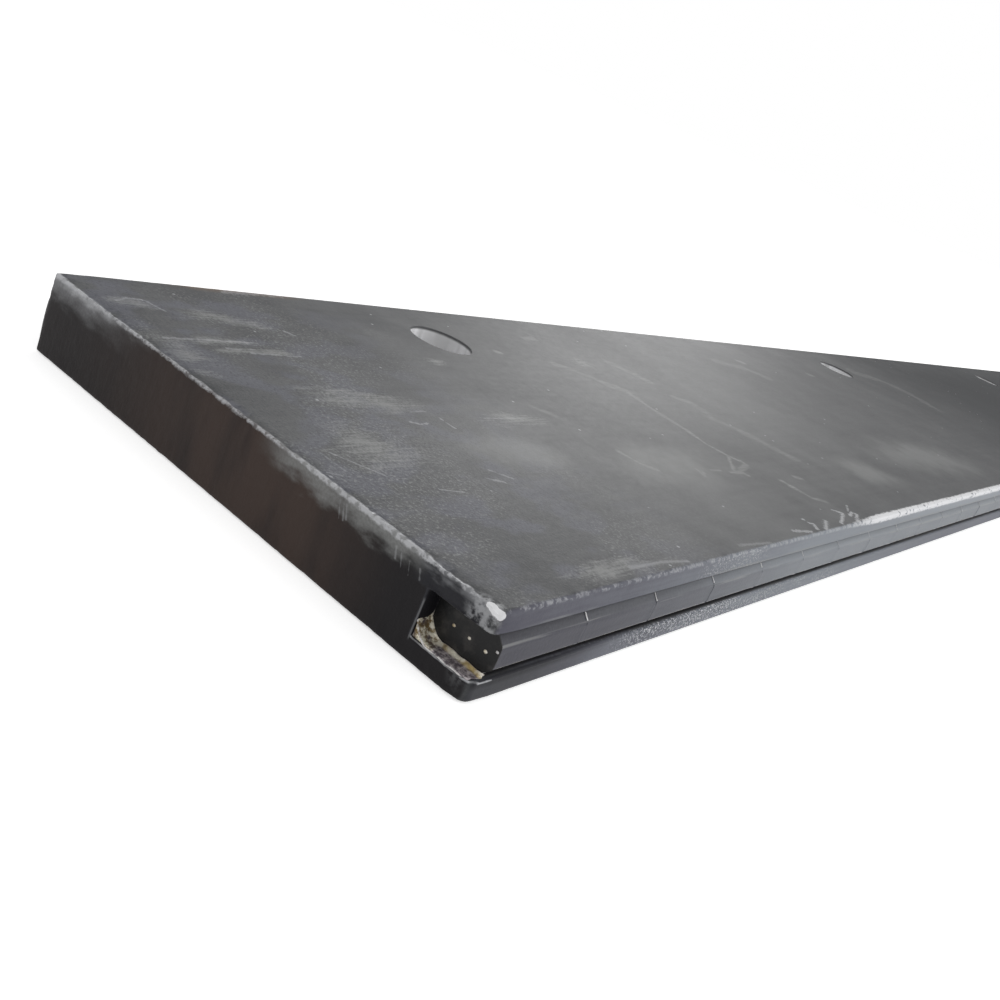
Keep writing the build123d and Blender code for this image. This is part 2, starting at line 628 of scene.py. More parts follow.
def make_pocket_spill(braze):
    """Braze that ran out over the lower lip at an end of the slot, and climbed its back corner."""
    reach = FIRST_INSERT - 0.1
    begin()
    mesh.primitive_grid_add(
        x_subdivisions=14,
        y_subdivisions=48,
        size=1,
        location=at(SPILL_GAP + reach / 2, (SPILL_FRONT + SLOT_BACK) / 2, SLOT_LOW + SPILL_GAP),
    )
    bpy.context.object.scale = (reach * MM, (SLOT_BACK - SPILL_FRONT) * MM, 1)
    spill = settle("braze_spill_near")
    rows = sorted({round(where(corner.co).y, 3) for corner in spill.data.vertices})
    open_up(spill)
    for row in rows:
        climb = max(0.0, 1 - (SLOT_BACK - row) / SPILL_CORNER) ** 2 * SPILL_CLIMB
        swell = 0.12 + 0.06 * math.sin(row * 1.7)
        slide(spill, lambda c: near(c[0].y, row), up=climb + swell)
    slide(spill, lambda c: c[0].x < 0.3, up=-0.28)
    slide(spill, lambda c: c[0].x > FIRST_INSERT - 0.9, up=0.25)
    slide(spill, lambda c: c[0].x > FIRST_INSERT - 0.5, up=0.35)
    for row in rows:
        share = (row - SPILL_FRONT) / SPILL_ROUNDING
        if share < 1:
            breadth = max(0.15, math.sqrt(1 - (1 - share) ** 2))
            middle = at(SPILL_GAP + reach, row, SLOT_LOW)
            resize(spill, lambda c: near(c[0].y, row), (breadth, 1, 1), middle)
    close_up()
    finish_with(spill, "SOLIDIFY", thickness=SPILL_THICKNESS * MM, offset=-1)
    skin = weigh(spill, "skin", lambda place: 1.0)
    wear_down(spill, skin, pattern("spill_lumps", 0.9, noise_depth=2), 0.2)
    smooth(spill, 60)
    spill.data.materials.append(braze)
    finish_braze(spill)
    other = copy_of(spill)
    other.scale.x = -1
    other = settle("braze_spill_far")
    open_up(other)
    face_outwards()
    close_up()
    finish_braze(other)


def finish_braze(piece):
    """Every piece of braze goes with the bar."""
    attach(piece, "root")


# Beads on the near insert's end: (across, up, radius)
BEADS = [
    (2.5, 8.3, 0.44),
    (6.1, 8.4, 0.4),
    (9.6, 8.5, 0.42),
    (10.5, 8.4, 0.2),
    (11.4, 8.1, 0.2),
    (12.3, 8.0, 0.16),
    (7.7, 5.4, 0.18),
    (0.55, 9.5, 0.38),
    (10.9, 9.2, 0.14),
    (1.9, 11.2, 0.16),
]


def make_beads(braze):
    """Small beads of braze spattered on the end of the first insert."""
    beads = []
    for across, up, radius in BEADS:
        begin()
        mesh.primitive_ico_sphere_add(
            subdivisions=2, radius=radius * MM, location=at(FIRST_INSERT + 0.05, across, up)
        )
        bpy.context.object.scale = (0.6, 1, 0.85)
        beads.append(settle("bead"))
    join(beads, "braze_beads", braze)


def make_joint_ticks(braze):
    """Thin ridges of braze that were squeezed out of the joints between the inserts."""
    ticks = []
    for number in range(1, INSERT_COUNT):
        along = FIRST_INSERT + number * INSERT_PITCH - (INSERT_PITCH - INSERT_LENGTH) / 2
        length = chance.uniform(1.2, 2.6)
        width = chance.uniform(0.11, 0.2) * (1 if number < 6 else 0.6)
        begin()
        mesh.primitive_cylinder_add(
            vertices=8,
            radius=width * MM,
            depth=length * MM,
            location=at(along, 1.0, INSERT_HIGH - 1.05),
            rotation=(math.radians(-45), 0, 0),
        )
        tick = settle("tick")
        open_up(tick)
        choose_all()
        mesh.subdivide(number_cuts=3)
        close_up()
        skin = weigh(tick, "skin", lambda place: 1.0)
        wear_down(tick, skin, pattern("tick_lumps", 0.7, noise_depth=1), 0.12)
        ticks.append(tick)
    join(ticks, "joint_ticks", braze)


def join(parts, name, material):
    """Several small parts as one piece of braze."""
    begin()
    for part in parts:
        part.select_set(True)
    bpy.context.view_layer.objects.active = parts[0]
    bpy.ops.object.join()
    piece = settle(name)
    piece.data.materials.clear()
    piece.data.materials.append(material)
    smooth(piece, 60)
    finish_braze(piece)


# Finishes


class Level:
    """A number that changes over a surface. An operator on it adds a Math node."""

    def __init__(self, bench, socket):
        self.bench = bench
        self.socket = socket

    def math(self, operation, first, second=0.0):
        return self.bench.add("Math", {"operation": operation}, [first, second])

    def __add__(self, other):
        return self.math("ADD", self, other)

    def __sub__(self, other):
        return self.math("SUBTRACT", self, other)

    def __rsub__(self, other):
        return self.math("SUBTRACT", other, self)

    def __mul__(self, other):
        return self.math("MULTIPLY", self, other)

    __radd__ = __add__
    __rmul__ = __mul__

    def __abs__(self):
        return self.math("ABSOLUTE", self)

    def most(self, other):
        return self.math("MAXIMUM", self, other)

    def least(self, other):
        return self.math("MINIMUM", self, other)

    def over(self, low, high):
        """0 below low, 1 above high and smooth between."""
        inputs = {"Value": self, "From Min": low, "From Max": high}
        return self.bench.add("MapRange", {"interpolation_type": "SMOOTHSTEP"}, inputs)

    def under(self, low, high):
        """1 below low, 0 above high and smooth between."""
        return 1 - self.over(low, high)

    def between(self, low, high, fade):
        """1 between two values, fading to 0 outside them."""
        return self.over(low - fade, low) * self.under(high, high + fade)

    def coat(self, amount, colour):
        """This colour with another one over it."""
        return self.bench.mix(amount, self, colour)


class NodeBench:
    """A node tree that is being built up."""

    def __init__(self, tree):
        self.tree = tree
        self.tree.nodes.clear()

    def add(self, kind, settings=None, inputs=None, output=0):
        """Any shader node: its kind, its settings, and the values or links of its sockets."""
        node = self.tree.nodes.new("ShaderNode" + kind)
        for name, value in (settings or {}).items():
            setattr(node, name, value)
        pairs = enumerate(inputs) if isinstance(inputs, list) else (inputs or {}).items()
        for name, value in pairs:
            if isinstance(value, Level):
                self.tree.links.new(value.socket, node.inputs[name])
            else:
                node.inputs[name].default_value = value
        return Level(self, node.outputs[output]) if node.outputs else None

    def backdrop_rays(self):
        """1 for what the camera, gloss and glass show, and 0 for what lights the object."""
        rays = [
            self.add("LightPath", output=f"Is {kind} Ray")
            for kind in ("Camera", "Glossy", "Transmission")
        ]
        return worst_of(rays)


class Finish(NodeBench):
    """A surface finish under construction, with its place in millimetres from the near end."""

    def __init__(self, name):
        self.material = bpy.data.materials.new(name)
        self.material.use_nodes = True
        super().__init__(self.material.node_tree)
        spot = self.add("TexCoord", output="Object")
        shifted = self.vector("SUBTRACT", spot, tuple(cad_low))
        self.place = self.scaled(shifted, 1 / MM)
        self.along, self.across, self.up = self.split(self.place)

    def vector(self, operation, first, second=(0, 0, 0), output=0):
        return self.add("VectorMath", {"operation": operation}, [first, second], output)

    def scaled(self, vector, factor):
        return self.add("VectorMath", {"operation": "SCALE"}, {0: vector, "Scale": factor})

    def split(self, vector):
        node = self.add("SeparateXYZ", inputs=[vector]).socket.node
        return [Level(self, socket) for socket in node.outputs]

    def cells(self, size, stretch=(1, 1, 1)):
        """The place, counted in cells of a size in millimetres."""
        scales = [1 / (size * s) for s in stretch]
        return self.add("Mapping", inputs={"Vector": self.place, "Scale": scales})

    def noise(self, grain, detail=2.0, stretch=(1, 1, 1), roughness=0.5):
        """Cloudy noise; grain is its size in millimetres, longer along a stretched axis."""
        place = self.cells(grain, stretch)
        inputs = {"Vector": place, "Scale": 1.0, "Detail": detail, "Roughness": roughness}
        return self.add("TexNoise", inputs=inputs)

    def specks(self, spacing, size):
        """Small separate spots: 1 inside one and 0 between."""
        inputs = {"Vector": self.cells(spacing), "Scale": 1.0}
        return self.add("TexVoronoi", inputs=inputs).under(size * 0.5, size)

    def mix(self, amount, first, second):
        """One colour over another."""
        inputs = {"Factor": amount, 6: first, 7: second}
        return self.add("Mix", {"data_type": "RGBA"}, inputs, output=2)

    def stroke(self, start, stop, width, fray, strength=1.0):
        """A mark along the line between two places; width is half its breadth.

        It is frayed by a pattern that goes from -0.5 to 0.5 or more.
        """
        run = Vector(stop) - Vector(start)
        away = self.vector("SUBTRACT", self.place, start)
        share = self.vector("DOT_PRODUCT", away, tuple(run / run.length_squared), output=1)
        reached = self.scaled(tuple(run), share.most(0).least(1))
        gap = self.vector("DISTANCE", away, reached, output=1)
        gap = self.add("Math", {"operation": "MULTIPLY_ADD"}, [fray, width, gap])
        inputs = {"Value": gap, "From Min": width, "From Max": width * 0.1, "To Max": strength}
        return self.add("MapRange", {"interpolation_type": "SMOOTHSTEP"}, inputs)

    def marks(self, lines, fray, spread=1.0):
        """Broken strokes on the upper face, each through its own places (along, across)."""
        whole = 0
        for width, strength, places in lines:
            for start, stop in zip(places, places[1:]):
                ends = [(*place, THICKNESS) for place in (start, stop)]
                whole = self.stroke(*ends, width * spread, fray, strength).most(whole)
        return whole

    def patch(self, middle, size, angle=0.0):
        """A soft oval on the upper face, given by its middle and its half sizes."""
        centred = self.vector("SUBTRACT", self.place, (*middle, THICKNESS))
        inputs = {"Vector": centred, "Angle": -math.radians(angle)}
        turned = self.add("VectorRotate", {"rotation_type": "Z_AXIS"}, inputs)
        scaled = self.vector("MULTIPLY", turned, (1 / size[0], 1 / size[1], 0.05))
        return self.add("TexGradient", {"gradient_type": "SPHERICAL"}, [scaled], output=1)

    def surface(self, colour, roughness, metal, height, depth, specular=0.3):
        """Close the finish: one shader with its colour, gloss, metal and relief in millimetres."""
        inputs = {"Height": height, "Strength": 1.0, "Distance": depth * MM}
        normal = self.add("Bump", inputs=inputs)
        inputs = {
            "Base Color": colour,
            "Roughness": roughness,
            "Metallic": metal,
            "Normal": normal,
            "Specular IOR Level": specular,
        }
        shader = self.add("BsdfPrincipled", inputs=inputs)
        self.add("OutputMaterial", inputs={"Surface": shader})
        return self.material


def worst_of(marks):
    """Several masks as one."""
    whole = marks[0]
    for mark in marks[1:]:
        whole = whole.most(mark)
    return whole


def shade(red, green, blue):
    """A colour as it looks on screen, 0 to 255, as a shader colour."""
    def linear(value):
        value /= 255
        return value / 12.92 if value <= 0.04045 else ((value + 0.055) / 1.055) ** 2.4

    return (linear(red), linear(green), linear(blue), 1.0)


BLACK_PAINT = shade(62, 63, 65)
GREY_PAINT = shade(100, 101, 102)
DUST = shade(150, 151, 150)
BLUE_PAINT = shade(112, 114, 130)
LIP_PURPLE = shade(84, 83, 94)
LIP_GREY = shade(143, 148, 155)
PAINTED_REFLECTION_PALE = shade(184, 189, 196)
LIP_END_DARK = shade(44, 44, 48)
LIP_END_PALE_AND_HIGHLIGHT = shade(124, 125, 128)
BROWN_STAIN = shade(118, 100, 84)
SAWN_DARK = shade(29, 27, 29)
SAWN_BROWN = shade(70, 58, 53)
BARE_STEEL = shade(196, 197, 200)
# Bright bare steel, also used as painted light: the worn corner's glint, the bolt holes' painted
# reflection and the inserts' lit lower chamfer
BRIGHT_STEEL_AND_LIGHT = shade(248, 248, 250)
# Painted shade: near black put into the slot, the grooves round the inserts' noses and under the
# upper lip, where only shade falls
SHADE_AND_GRIME_BLACK = shade(24, 23, 27)
CARBIDE_PURPLE = shade(58, 57, 67)
CARBIDE_GREY = shade(140, 145, 151)

# Scratches on the upper face: half breadth, strength, and the places (along, across) of each
SCRATCHES = [
    (1.5, 0.5, [(141, 94), (148.5, 87), (151, 83)]),
    (2.2, 0.6, [(151, 83), (156, 76.5)]),
    (0.9, 0.7, [(156, 76), (154, 65), (153, 52.5)]),
    (0.8, 0.8, [(153, 52.5), (151, 45), (152, 38.5), (153.5, 35)]),
    (0.6, 0.8, [(152, 38), (142, 31)]),
    (0.6, 0.8, [(154.5, 35), (154, 33), (146, 30.5)]),
    (0.7, 0.9, [(138.5, 30), (144.5, 29.5), (145, 28)]),
    (0.5, 0.6, [(124, 33), (122.5, 30)]),
    (0.5, 0.6, [(122.5, 30), (125, 31.5)]),
    (0.4, 0.6, [(130.5, 32), (135, 31.5)]),
    (1.5, 0.6, [(177, 97), (180, 90), (182, 84)]),
    (1.4, 0.5, [(181, 73.5), (186, 69.5)]),
    (1.6, 0.35, [(185, 66), (183, 60), (181, 60), (186.5, 51.5)]),
    (1.8, 0.5, [(186.5, 51.5), (188, 43), (189.5, 34.5)]),
    (1.3, 1.0, [(158.5, 23), (158.8, 20.5)]),
    (0.8, 0.7, [(158.8, 20.5), (159.4, 14), (163.5, 11.5)]),
    (0.8, 0.8, [(170, 24.5), (172, 23.5)]),
    (0.8, 0.6, [(101.5, 43.5), (102.5, 38), (105.5, 34.5)]),
    (1.8, 0.5, [(94.7, 67), (98.2, 62)]),
    (1.2, 0.5, [(148, 111), (154, 112)]),
    (1.0, 1.0, [(120, 99.8), (120.6, 99.5)]),
    (3.0, 0.35, [(425, 103), (445, 95), (451, 83), (446, 65)]),
    (2.2, 0.4, [(270, 103.5), (286, 99.5), (291, 92)]),
    (1.8, 0.7, [(294, 106), (296, 105)]),
    (1.5, 0.5, [(350, 96.5), (352, 96)]),
]

# Fine scratches at the near end, many of them along the bar
FINE_SCRATCHES = [
    (0.35, 0.9, [(52.9, 61.9), (53, 57.3)]),
    (0.4, 0.9, [(41.7, 60.5), (44, 59.3), (46.5, 59.8)]),
    (0.45, 0.8, [(43.6, 104), (45, 101.6)]),
    (0.4, 0.7, [(44.5, 40), (47.6, 36.5)]),
    (0.4, 0.7, [(40.2, 37.2), (43.7, 35.3)]),
    (0.4, 0.6, [(5.3, 113), (10, 115.5), (14, 115), (15.5, 110)]),
    (0.5, 0.7, [(5.8, 96), (16, 96.3), (28.5, 96)]),
    (0.4, 0.6, [(18.6, 92.5), (26, 92.5)]),
    (0.4, 0.6, [(23.8, 90.7), (37, 90.3)]),
    (0.35, 0.5, [(68.6, 61.5), (84.8, 61.2)]),
    (0.35, 0.5, [(46.6, 64.8), (51.3, 65)]),
    (0.3, 0.8, [(8.7, 49.8), (15.1, 40)]),
    (0.3, 0.6, [(6.4, 51), (6.6, 43.5)]),
    (0.3, 0.7, [(23.2, 35), (28.8, 33.2)]),
    (0.3, 0.6, [(2.2, 43.3), (5.9, 41.5)]),
    (0.9, 0.7, [(42, 124.6), (61, 125.6)]),
]

# Ragged slivers along the front's upper edge
SLIVERS = [
    (0.55, 0.9, [(159.5, 7.5), (162, 5.6), (152, 2.0)]),
    (0.4, 0.6, [(172, 8.3), (167, 5.9)]),
    (0.6, 0.9, [(164, 4.2), (168, 5.2), (169, 4), (162, 1)]),
    (0.7, 0.8, [(145.5, 4.1), (139, 1.3)]),
    (0.6, 0.8, [(135.7, 4.7), (137, 4), (134.5, 1.9)]),
    (0.5, 0.9, [(135.3, 6.6), (135.7, 6.5)]),
    (0.6, 0.7, [(122, 3.4), (130, 1.6)]),
    (0.5, 0.3, [(90, 3), (104, 1.4)]),
    (0.5, 0.35, [(44, 4), (56, 3.4), (64, 2)]),
]

# Upright strokes on the near end: from the first to the second (across, up)
END_STROKES = [
    ((37.2, 16.4), (36.0, 13.0)),
    ((36.2, 16.2), (35.0, 13.2)),
    ((35.4, 16.0), (34.4, 13.6)),
    ((23.0, 15.4), (22.4, 13.6)),
    ((21.6, 15.0), (20.8, 12.8)),
    ((19.6, 14.8), (18.9, 12.6)),
    ((17.2, 14.8), (16.6, 13.2)),
]

# The bright rim of the near pocket, along the lower lip's end and round its corner
POCKET_RIM = [
    (0.1, 14.0, 4.1),
    (0.1, 3.2, 4.0),
    (0.8, 1.5, 3.9),
    (2.6, 0.5, 3.8),
    (5.5, 0.3, 3.9),
]

# Scuffed areas: middle (along, across), half sizes and the turn in degrees
SCUFFS = [
    ((30.0, 107.5), (15.0, 5.5), -14),
    ((10.5, 112.5), (9.0, 4.5), -5),
    ((18.0, 95.8), (19.0, 3.0), 0),
    ((26.0, 91.8), (18.0, 2.2), 3),
    ((78.0, 61.0), (17.0, 6.0), 0),
    ((84.0, 91.0), (6.0, 3.0), 0),
    ((158.0, 96.0), (6.0, 5.0), 0),
    ((36.0, 70.0), (22.0, 8.0), -8),
    ((40.0, 5.0), (22.0, 4.0), 0),
    ((20.0, 50.0), (18.0, 14.0), 20),
    ((6.0, 90.0), (7.0, 16.0), 0),
]

# Pale clouds of dust, given in the same way
CLOUDS = [
    ((226.0, 22.0), (26.0, 16.0), -25),
    ((300.0, 26.0), (70.0, 22.0), -8),
    ((62.0, 46.0), (24.0, 12.0), -10),
    ((116.0, 36.0), (40.0, 18.0), 0),
]


def paint_of_faces(finish, near_end):
    """The rolled faces: black paint, bluish and pebbly at the near end, dusty with a painted sheen
    in the middle, and painted shade towards the far end.
    """
    along, across = finish.along, finish.across
    clouds = finish.noise(70, 3)
    blotches = finish.noise(14, 4)
    rolled = finish.noise(2.4, 3, stretch=(16, 1, 1))
    grain = finish.noise(0.65, 3, roughness=0.65)
    tint = finish.noise(9, 2, stretch=(1.6, 1, 1))
    tone = clouds * 0.7 + blotches * 0.5 + rolled * 0.2
    colour = finish.mix(tone.over(0.42, 1.0), BLACK_PAINT, GREY_PAINT)
    # Painted shade: the upper face darkened in bands along the bar, most towards the far end
    painted_far_shade = along.over(170, 290) * across.under(95, 135) * 0.55 + along.over(330, 620) * 0.4
    painted_far_shade = painted_far_shade + along.between(120, 140, 40) * across.over(90, 110) * 0.5
    colour = colour.coat(painted_far_shade, BLACK_PAINT)
    # A pale oval in the middle of the upper face: dust, and a painted sheen where the window
    # lamp's highlight falls
    dust_and_sheen = finish.patch((190, 78), (190, 75), 20)
    colour = colour.coat(dust_and_sheen * (0.1 + 0.3 * clouds), DUST)
    bluish = tint.over(0.46, 0.6) * near_end
    colour = colour.coat(bluish * 0.3, BLUE_PAINT)
    pebbled = finish.noise(30, 2).over(0.45, 0.6)
    pebbles = grain.over(0.53, 0.66) * (near_end * 0.85 + 0.15) * (0.15 + 0.85 * pebbled)
    colour = colour.coat(pebbles * 0.5, DUST)
    colour = colour.coat(grain.under(0.34, 0.47) * (0.12 + 0.4 * near_end), BLACK_PAINT)
    shadow = finish.patch((FIRST_HOLE - 14, HOLE_ACROSS + 5), (14, 8), -20).over(0.0, 0.6)
    colour = colour.coat(shadow * 0.5, BLACK_PAINT)
    clouds_of_dust = worst_of([finish.patch(*cloud) for cloud in CLOUDS])
    colour = colour.coat((clouds_of_dust * (0.4 + blotches)).over(0.12, 0.8) * 0.42, DUST)
    stain = (WIDTH - across).under(0.5, 4.0) * along.between(34, 60, 10)
    stain = stain * finish.up.over(THICKNESS - 3.0, THICKNESS - 0.6)
    return colour.coat(stain * blotches.over(0.25, 0.5) * 0.8, BROWN_STAIN)


def paint_of_lips(finish):
    """The lips' fronts: purplish at the near end, painted lighter grey along the bar as a painted
    reflection, with dusty specks below.
    """
    along, up = finish.along, finish.up
    lower = up.under(SLOT_LOW, SLOT_LOW + 0.4)
    blotches = finish.noise(9, 4, stretch=(3, 1, 1))
    scores = finish.noise(1.2, 3, stretch=(18, 1, 1))
    grain = finish.noise(0.5, 3, roughness=0.7)
    # The tone lightens along the bar as a painted reflection of the grazing light, with random
    # blotches, scores and grain; the upper lip is painted paler still further along
    tone = (along * 0.0075).least(1.0) + blotches * 0.5 + scores * 0.5 + grain * 0.3
    colour = finish.mix(tone.over(0.4, 1.85), LIP_PURPLE, LIP_GREY)
    colour = colour.coat(along.over(120, 300) * (1 - lower) * 0.34, PAINTED_REFLECTION_PALE)
    colour = colour.coat(along.over(90, 300) * lower * 0.55, LIP_PURPLE)
    colour = colour.coat(along.under(8, 44) * up.under(3.0, 6.0) * 0.85, BLACK_PAINT)
    # Darker along the lower lip's upper edge near the near end
    colour = colour.coat(lower * up.over(2.2, 3.6) * along.under(20, 52) * 0.7, SHADE_AND_GRIME_BLACK)
    dusty = lower * along.over(40, 60) * along.under(90, 210) * blotches.over(0.35, 0.6)
    colour = colour.coat(dusty * grain.under(0.4, 0.52) * 0.45, LIP_END_DARK)
    colour = colour.coat(dusty * grain.over(0.53, 0.61) * 0.75, BRIGHT_STEEL_AND_LIGHT)
    dusty = (1 - lower) * along.between(76, 96, 10)
    colour = colour.coat(dusty * grain.over(0.54, 0.62) * 0.7, BARE_STEEL)
    colour = colour.coat(finish.specks(5, 0.06) * 0.7, BARE_STEEL)
    # Painted shade: a dark line under the upper lip's lower edge, fading along the bar
    mouth = up.between(SLOT_TOP - 0.1, SLOT_TOP + 0.25, 0.2)
    colour = colour.coat(mouth * (0.85 - 0.6 * along.over(60, 260)), SHADE_AND_GRIME_BLACK)
    line = up.between(SLOT_TOP + 0.5, SLOT_TOP + 0.7, 0.25)
    return colour.coat(line * blotches.over(0.38, 0.58) * 0.6, DUST)


def colour_of_ends(finish, ragged):
    """The sawn ends: brown-black with faint upright marks, scuffed light under the upper edge."""
    across, up = finish.across, finish.up
    depth = THICKNESS - up
    bands = finish.noise(9, 3, stretch=(1, 1, 4))
    sawn = finish.noise(1.3, 3, stretch=(1, 1, 9))
    scuffed = finish.noise(2.2, 4, stretch=(1, 2.5, 1))
    fine = finish.noise(0.5, 3)
    colour = finish.mix(across.over(18, 46) * bands.over(0.1, 0.6), SAWN_DARK, SAWN_BROWN)
    colour = colour.coat(across.over(60, 118) * 0.9, SAWN_DARK)
    powder = across.between(23, 48, 12) * (depth + (scuffed - 0.5) * 7).under(1.2, 5.0)
    colour = colour.coat(powder * (0.5 + 0.6 * fine), DUST)
    fading = depth + (scuffed - 0.5) * 5
    beaten = fading.under(-0.5, 2.2) * 0.6 + fading.under(0.5, 6.5) * across.over(88, 122) * 0.5
    colour = colour.coat(across.over(88, 112) * beaten * (0.6 + 0.7 * fine), BARE_STEEL)
    lip = (up + ragged).over(SLOT_TOP - 0.6, SLOT_TOP + 0.4)
    lip = lip * across.under(SLOT_BACK + 1, SLOT_BACK + 5)
    # The upper lip's lumpy end: worn grey patches, painted lighter towards the top as a painted
    # highlight
    lumps = (scuffed + (up - 15.6) * 0.12).over(0.4, 0.68)
    lumps = finish.mix(lumps, LIP_END_DARK, LIP_END_PALE_AND_HIGHLIGHT)
    colour = colour.coat(lip, lumps)
    fray = (scuffed - 0.5) * 3
    strokes = [finish.stroke((0, *start), (0, *stop), 0.3, fray) for start, stop in END_STROKES]
    return finish.mix(worst_of(strokes) * 0.3, colour, BARE_STEEL), sawn


def black_paint():
    """Worn black paint on rolled steel, bluish on the lips and brown-black on the sawn ends, with
    painted shade in the slot and painted highlights on the worn upper edges and corner.
    """
    finish = Finish("worn_black_paint")
    along, across, up = finish.along, finish.across, finish.up
    near_end = along.under(30, 95)
    top = up.over(THICKNESS - 1.2, THICKNESS - 0.5)
    end_gap = along.least(LENGTH - along)
    front_gap = across - BAR_FRONT
    depth = THICKNESS - up
    grain = finish.noise(0.65, 3, roughness=0.65)
    fray = finish.noise(1.7, 4, roughness=0.6)
    fibres = finish.noise(0.7, 4, stretch=(14, 1, 1))
    cloudy = finish.noise(5, 4, stretch=(2, 1, 1))
    ragged = (grain - 0.5) * 1.2 + (fray - 0.5) * 2.0

    colour = paint_of_faces(finish, near_end)
    scuffs = worst_of([finish.patch(*scuff) for scuff in SCUFFS])
    scuffed = scuffs * 0.3 + fibres * 0.45 + cloudy * 0.6 + grain * 0.4
    scuffed = scuffed.over(0.76, 1.12) * scuffs.over(0.02, 0.35)
    colour = colour.coat(scuffed * top * 0.7, DUST)
    pale = (cloudy + fibres).over(0.7, 1.25)
    scratches = finish.marks(SCRATCHES, (cloudy - 0.5) * 2.4, 1.9) * top
    fine_scratches = finish.marks(FINE_SCRATCHES, (fray - 0.5) * 3, 1.4) * top
    colour = colour.coat(scratches * (0.3 + 0.5 * pale), DUST)
    colour = colour.coat(fine_scratches * (0.2 + 0.5 * grain), BARE_STEEL)
    dots = finish.specks(9, 0.055) * top
    colour = colour.coat(dots * 0.6, BARE_STEEL)

    colour = colour.coat(across.under(BAR_FRONT + 0.4, BAR_FRONT + 1.0), paint_of_lips(finish))
    # Painted shade: the slot's walls and the lower lip's top behind the inserts are painted near
    # black, less so further along the bar
    in_slot = up.between(SLOT_LOW, SLOT_TOP, 0.25) * across.between(1.8, SLOT_BACK, 0.7)
    colour = colour.coat(in_slot * (1 - along.over(60, 300) * 0.6), SHADE_AND_GRIME_BLACK)
    ends = end_gap.under(0.35, 0.8) * (1 - in_slot)
    end_colour, sawn = colour_of_ends(finish, ragged)
    colour = colour.coat(ends, end_colour)

    bright_front = along.over(148, 182)
    front_line = (front_gap + depth + ragged * 0.8 - bright_front * 0.9).under(0.5, 1.2)
    front_line = front_line * (fray + bright_front * 0.12).over(0.46, 0.56)
    front_line = front_line * (0.6 + 0.4 * bright_front)
    slivers = finish.marks(SLIVERS, (grain - 0.5) * 3, 1.4) * top
    battered = worst_of([across.under(26, 60), across.over(88, 98) * 1.3])
    # Along the ends' upper edges: worn bare steel, and a painted highlight of the rounded edge
    end_wear_and_highlight = (end_gap + depth + ragged * 0.5 - battered * 0.35).under(0.5, 1.0)
    end_wear_and_highlight = end_wear_and_highlight * (0.3 + 0.7 * fray.over(0.4, 0.52))
    # The worn flat on the near upper corner: bare steel, painted white as a painted glint
    worn_facet_glint = finish.stroke((0.4, 3.3, 17.0), (1.1, 1.3, 16.3), 1.1, (fray - 0.5) * 1.2)
    worn_facet_glint = worn_facet_glint.over(0.1, 0.3)
    halo = finish.patch((0.4, 3.5), (3.0, 5.0)).over(0.1, 0.7) * fray.over(0.4, 0.6)
    corners = zip(POCKET_RIM, POCKET_RIM[1:])
    rim = worst_of([finish.stroke(*pair, 0.32, (fray - 0.5) * 0.8) for pair in corners])
    back_line = end_gap.under(0.15, 0.4) * abs(across - SLOT_BACK - 0.2).under(0.05, 0.25)
    back_line = back_line * up.between(SLOT_LOW, 10.5, 1) * 0.3
    bare = worst_of([front_line, end_wear_and_highlight, slivers * 0.8, halo * 0.7, rim, back_line])
    colour = colour.coat(bare * 0.85, BARE_STEEL)
    colour = colour.coat(worst_of([worn_facet_glint, front_line * bright_front * 0.6]), BRIGHT_STEEL_AND_LIGHT)

    roughness = 0.5 + 0.12 * fray - 0.18 * bare + along.over(300, 620) * 0.32
    metal = bare * 0.25
    height = grain * (0.15 + 0.4 * near_end) + sawn * ends * 0.6
    return finish.surface(colour, roughness, metal, height, 0.1, specular=0.15)


def bored_steel():
    """The drilled wall of a bolt hole, painted near white as a painted reflection, with faint
    drill rings and upright bands that are partly facets and partly painted shading of the round
    wall.
    """
    finish = Finish("bored_steel")
    rings = finish.noise(0.6, 2, stretch=(6, 6, 1))
    facets_and_shading = finish.noise(4.5, 2, stretch=(1, 1, 6))
    # Painted reflection: the wall near white, in upright bands that are partly painted shading of
    # the round wall
    colour = finish.mix(facets_and_shading.over(0.4, 0.65), shade(214, 214, 215), BRIGHT_STEEL_AND_LIGHT)
    mouth = finish.up.over(THICKNESS - 1.2, THICKNESS - 0.5)
    colour = colour.coat(mouth * 0.9, BLACK_PAINT)
    return finish.surface(colour, 0.6 + 0.15 * facets_and_shading, facets_and_shading * 0.2, rings, 0.06)


